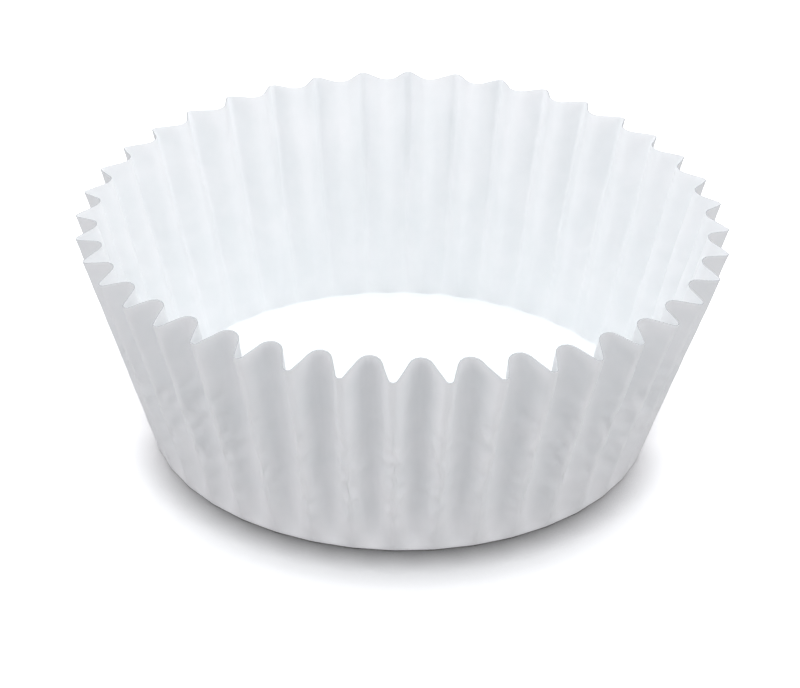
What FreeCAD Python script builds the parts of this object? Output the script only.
# Fluted paper baking cup: a round blank of thin white paper pressed into a flat-floored cup with a pleated wall.
# Frame: origin at the centre of the floor's underside, +Z up through the mouth. All lengths are in millimetres.
# The wall is a plain core that the flutes' outward folds stand out from.
# A fold has the same section all the way up: a narrow round ridge between two flat flanks.
# It starts at the floor's edge and leans out more than the core does, so the flutes deepen up to the rim.
# It ends square to its own length, so the rim stands higher in the grooves than on the folds.
# Between the folds lies the core itself: the bottom of each groove, broad at the heel and narrow at the rim.
import FreeCAD, Part
import math
import os

import Sketcher

V = FreeCAD.Vector

# Driving dimensions: alias, value, note
DIMENSIONS = [
    ("floor_radius", 25.0, "edge of the flat floor, where the wall folds up"),
    ("mouth_radius", 32.15, "axis to the outward folds, at the rim"),
    ("rim_height", 22.5, "height of the outward folds, at the rim"),
    ("flute_count", 40, "flutes round the wall"),
    ("flute_depth", 3.0, "from outward fold to the groove's bottom, at the rim and square to the fold"),
    ("flank_angle", 28.0, "degrees between a flank and its fold's middle plane"),
    ("fold_radius", 0.35, "inner face of an outward fold"),
    ("foot_depth", 0.3, "flute depth at the floor's edge"),
    ("heel_height", 3.0, "top of the heel, where the wall is steep and the flutes deepen fast"),
    ("heel_depth", 0.75, "flute depth at the top of the heel"),
    ("paper", 0.1, "thickness of the paper"),
]

# Share of the flute's depth that the fold's section reaches in, to root it in the core
ROOT_REACH = 1.05

# The core's top stands this many thicknesses of paper above the folds' roots
CORE_RISE = 0.5

# Share of the rim's height that the cuts for the inside run on to
OPEN_REACH = 1.25

# Sketcher's codes: a curve's start, end and centre, and the sketch's origin point, X axis and Y axis
START, END, CENTRE = range(1, 4)
ORIGIN = (-1, 1)
X_AXIS = -1
Y_AXIS = -2

# What the outward folds gain in radius for each millimetre of height
LEAN = "((dims.mouth_radius - dims.floor_radius - dims.foot_depth) / dims.rim_height)"
SLOPE = f"atan({LEAN})"

doc = FreeCAD.newDocument("baking_cup")


def make_sheet():
    sheet = doc.addObject("Spreadsheet::Sheet", "dims")
    for row, (alias, value, note) in enumerate(DIMENSIONS, start=1):
        sheet.set(f"A{row}", note)
        sheet.set(f"B{row}", str(value))
        sheet.setAlias(f"B{row}", alias)
    doc.recompute()
    return sheet


sheet = make_sheet()
size = {alias: float(sheet.get(alias)) for alias, _, _ in DIMENSIONS}
lean = (size["mouth_radius"] - size["floor_radius"] - size["foot_depth"]) / size["rim_height"]
slope = math.atan(lean)


def origin_feature(body, role):
    return next(f for f in body.Origin.OriginFeatures if f.Role == role)


def new_sketch(body, name, plane):
    sketch = body.newObject("Sketcher::SketchObject", name)
    sketch.AttachmentSupport = [(origin_feature(body, plane), "")]
    sketch.MapMode = "FlatFace"
    return sketch


def bind(sketch, kind, *args):
    """Adds a dimension: its geometry, its starting value and the expression that drives it."""
    *geometry, value, expression = args
    index = sketch.addConstraint(Sketcher.Constraint(kind, *geometry, value))
    sketch.setExpression(f"Constraints[{index}]", expression)


def join(sketch, first, first_end, second, second_end, kind="Coincident"):
    sketch.addConstraint(Sketcher.Constraint(kind, first, first_end, second, second_end))


def mirror(point):
    """The same point on the other side of the sketch's X axis."""
    return V(point.x, -point.y, 0)


def place(sketch, geometry, end, point, x_expression=None, y_expression=None):
    """Dimensions a point from the sketch's origin, each way that has an expression."""
    if x_expression:
        bind(sketch, "DistanceX", *ORIGIN, geometry, end, point.x, x_expression)
    if y_expression:
        bind(sketch, "DistanceY", *ORIGIN, geometry, end, point.y, y_expression)


def polygon(sketch, points):
    """A closed outline of straight lines through the points. Returns the lines."""
    lines = [
        sketch.addGeometry(Part.LineSegment(point, following), False)
        for point, following in zip(points, points[1:] + points[:1])
    ]
    for line, following in zip(lines, lines[1:] + lines[:1]):
        join(sketch, line, END, following, START)
    return lines


def core_sketch(body, name, inset, inset_expression, top, top_expression):
    """Half section of the core: floor, steep heel and leaning wall, drawn in from its outer face by the inset."""
    sketch = new_sketch(body, name, "XZ_Plane")
    depth = size["flute_depth"]
    fold_x = size["floor_radius"] + size["foot_depth"] + lean * size["heel_height"]
    heel = V(fold_x - size["heel_depth"] - inset, size["heel_height"], 0)
    groove = V(size["mouth_radius"] - depth * math.cos(slope) - inset, size["rim_height"] + depth * math.sin(slope), 0)
    wall_top = heel + (groove - heel) * ((top - heel.y) / (groove.y - heel.y))
    points = [V(0, inset, 0), V(size["floor_radius"] - inset, inset, 0), heel, wall_top, V(0, top, 0)]
    ground, heel_wall, wall, lid, axis = polygon(sketch, points)
    if inset:
        sketch.addConstraint(Sketcher.Constraint("PointOnObject", ground, START, Y_AXIS))
        place(sketch, ground, START, points[0], y_expression=inset_expression)
    else:
        join(sketch, ground, START, *ORIGIN)
    sketch.addConstraint(Sketcher.Constraint("Horizontal", ground))
    sketch.addConstraint(Sketcher.Constraint("Horizontal", lid))
    sketch.addConstraint(Sketcher.Constraint("Vertical", axis))
    place(sketch, ground, END, points[1], f"dims.floor_radius - {inset_expression}")
    heel_x = f"dims.floor_radius + dims.foot_depth + {LEAN} * dims.heel_height - dims.heel_depth"
    place(sketch, wall, START, heel, f"{heel_x} - {inset_expression}", "dims.heel_height")
    rim_point = sketch.addGeometry(Part.Point(groove), True)
    groove_x = f"dims.mouth_radius - dims.flute_depth * cos({SLOPE}) - {inset_expression}"
    place(sketch, rim_point, START, groove, groove_x, f"dims.rim_height + dims.flute_depth * sin({SLOPE})")
    sketch.addConstraint(Sketcher.Constraint("PointOnObject", rim_point, START, wall))
    place(sketch, lid, START, wall_top, y_expression=top_expression)
    return sketch


def fold_sketch(body, name, inset, inset_expression):
    """Section of an outward fold, square to it, drawn in from the paper's outer face by the inset."""
    sketch = new_sketch(body, name, "XY_Plane")
    foot = V(size["floor_radius"] + size["foot_depth"] + inset * math.sin(slope), 0, inset * math.cos(slope))
    sketch.AttachmentOffset = FreeCAD.Placement(foot, FreeCAD.Rotation(V(0, 1, 0), math.degrees(slope)))
    foot_x = f"dims.floor_radius + dims.foot_depth + {inset_expression} * sin({SLOPE})"
    sketch.setExpression(".AttachmentOffset.Base.x", foot_x)
    sketch.setExpression(".AttachmentOffset.Base.z", f"{inset_expression} * cos({SLOPE})")
    sketch.setExpression(".AttachmentOffset.Rotation.Angle", SLOPE)

    flank = math.radians(size["flank_angle"])
    outer_radius = size["fold_radius"] + size["paper"]
    radius = outer_radius - inset
    centre = V(-outer_radius, 0, 0)
    near = centre + V(radius * math.sin(flank), radius * math.cos(flank), 0)
    root = -size["flute_depth"] * ROOT_REACH - inset
    far = V(root, near.y + (near.x - root) * math.tan(flank), 0)
    circle = Part.Circle(centre, V(0, 0, 1), radius)
    turn = math.pi / 2 - flank
    ridge = sketch.addGeometry(Part.ArcOfCircle(circle, -turn, turn), False)
    left = sketch.addGeometry(Part.LineSegment(near, far), False)
    base = sketch.addGeometry(Part.LineSegment(far, mirror(far)), False)
    right = sketch.addGeometry(Part.LineSegment(mirror(far), mirror(near)), False)
    sketch.addConstraint(Sketcher.Constraint("PointOnObject", ridge, CENTRE, X_AXIS))
    place(sketch, ridge, CENTRE, centre, "-1 * (dims.fold_radius + dims.paper)")
    bind(sketch, "Radius", ridge, radius, f"dims.fold_radius + dims.paper - {inset_expression}")
    join(sketch, ridge, END, left, START, "Tangent")
    join(sketch, right, END, ridge, START, "Tangent")
    join(sketch, left, END, base, START)
    join(sketch, base, END, right, START)
    bind(sketch, "Angle", left, math.pi - flank, "180 deg - dims.flank_angle * 1 deg")
    sketch.addConstraint(Sketcher.Constraint("Symmetric", base, START, base, END, X_AXIS))
    place(sketch, base, START, far, f"-1 * dims.flute_depth * {ROOT_REACH} - {inset_expression}")
    return sketch


def revolve(body, kind, name, sketch):
    feature = body.newObject(f"PartDesign::{kind}", name)
    feature.Profile = sketch
    feature.ReferenceAxis = (origin_feature(body, "Z_Axis"), [""])
    feature.Angle = 360
    feature.Refine = False
    return feature


def run_along_fold(body, kind, name, sketch, reach):
    """A feature along the whole fold, whose end is square to it, times the reach."""
    feature = body.newObject(f"PartDesign::{kind}", name)
    feature.Profile = sketch
    feature.setExpression("Length", f"dims.rim_height / cos({SLOPE}) * {reach}")
    feature.Reversed = kind == "Pocket"
    feature.Refine = False
    return feature


def pattern(body, name, original):
    """The same feature for every flute."""
    feature = body.newObject("PartDesign::PolarPattern", name)
    feature.Originals = [original]
    feature.Axis = (origin_feature(body, "Z_Axis"), [""])
    feature.Angle = 360
    feature.setExpression("Occurrences", "dims.flute_count")
    feature.Refine = False
    body.Tip = feature
    doc.recompute()


def make_cup():
    body = doc.addObject("PartDesign::Body", "paper_cup")
    body.Label = "paper_cup"
    paper = size["paper"]
    root_height = size["rim_height"] + size["flute_depth"] * ROOT_REACH * math.sin(slope)
    core_top = root_height + paper * CORE_RISE
    core_top_expression = (
        f"dims.rim_height + dims.flute_depth * {ROOT_REACH} * sin({SLOPE}) + dims.paper * {CORE_RISE}")
    open_top = size["rim_height"] * OPEN_REACH
    open_top_expression = f"dims.rim_height * {OPEN_REACH}"

    revolve(body, "Revolution", "core", core_sketch(body, "core_outline", 0, "0", core_top, core_top_expression))
    fold = run_along_fold(body, "Pad", "fold", fold_sketch(body, "fold_outline", 0, "0"), 1)
    pattern(body, "folds", fold)
    inside = core_sketch(body, "inside_outline", paper, "dims.paper", open_top, open_top_expression)
    revolve(body, "Groove", "inside", inside)
    doc.recompute()
    hollow_outline = fold_sketch(body, "hollow_outline", paper, "dims.paper")
    hollow = run_along_fold(body, "Pocket", "hollow", hollow_outline, OPEN_REACH)
    pattern(body, "hollows", hollow)
    return body


cup = make_cup()
doc.recompute()

for o in doc.Objects:
    if "Invalid" in o.State or "Error" in o.State:
        raise RuntimeError(f"{o.Name} failed: {o.State}")
if cup.Shape.isNull() or not cup.Shape.isValid() or len(cup.Shape.Solids) != 1:
    raise RuntimeError("the cup isn't one valid solid")

box = cup.Shape.optimalBoundingBox(False)
print(f"{cup.Label}: {len(cup.Shape.Faces)} faces, {cup.Shape.Volume:.1f} mm3 of paper")
print(f"box {box.XLength:.2f} x {box.YLength:.2f} x {box.ZLength:.2f} mm")
os.makedirs("parts", exist_ok=True)
cup.Shape.exportStep(f"parts/{cup.Label}.step")
